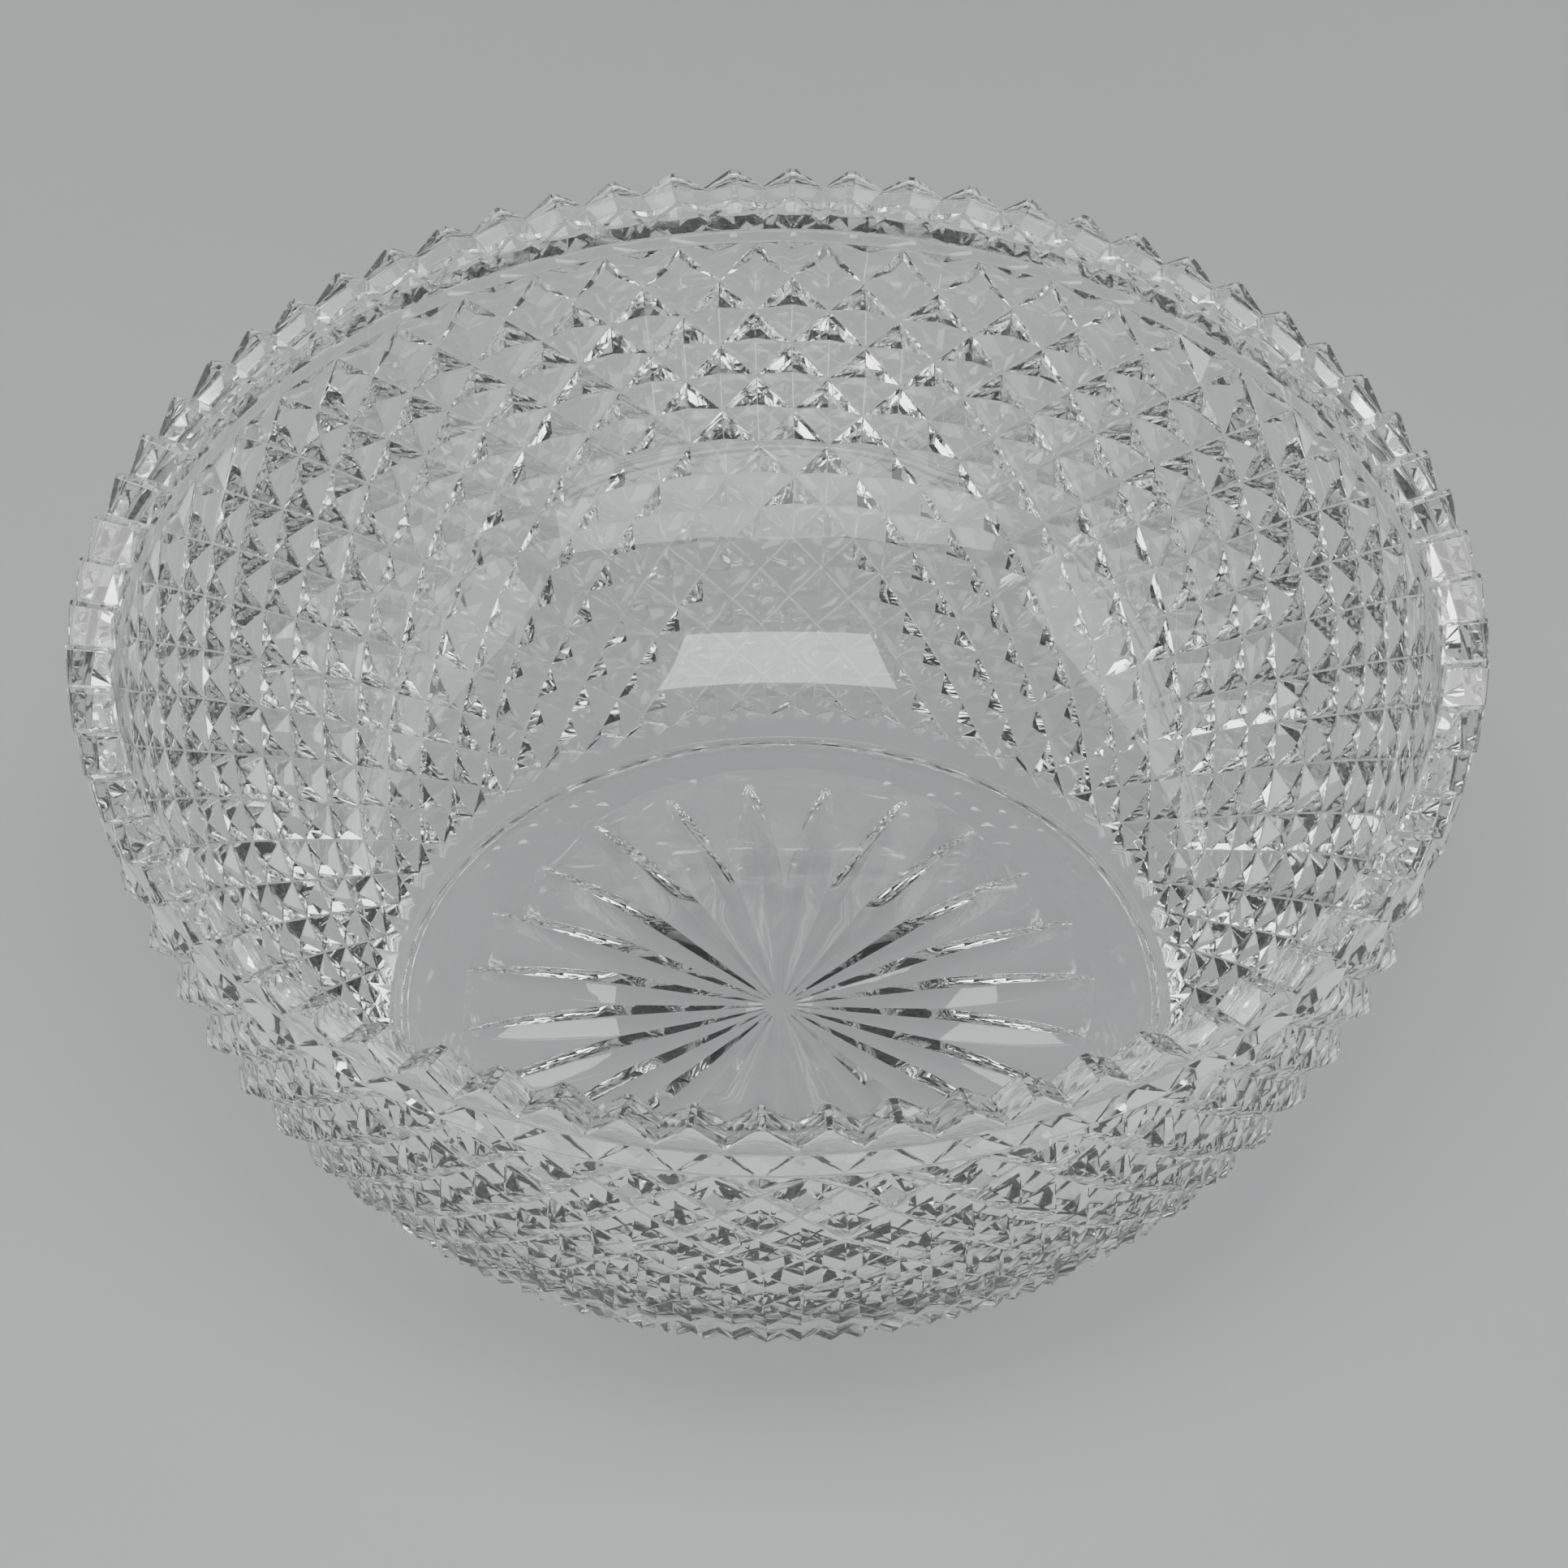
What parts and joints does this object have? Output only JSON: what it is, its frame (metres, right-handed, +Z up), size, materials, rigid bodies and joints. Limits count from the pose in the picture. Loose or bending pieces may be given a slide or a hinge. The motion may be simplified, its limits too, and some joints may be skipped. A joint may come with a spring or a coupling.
{
  "type": "punch bowl",
  "caption": "Round cut glass punch bowl with a toothed rim, ring cuts, a wall of raised diamonds and a star cut under the base.",
  "frame": {"origin": "centre of the flat ring the bowl stands on, on the table", "axes": "+Z up along the bowl's axis, towards the rim"},
  "size_m": [0.3, 0.3, 0.129],
  "materials": {
    "cut_glass": "clear colourless lead glass, polished inside, polished cuts outside"
  },
  "bodies": {
    "root": {"bowl": "cut_glass"}
  },
  "joints": []
}
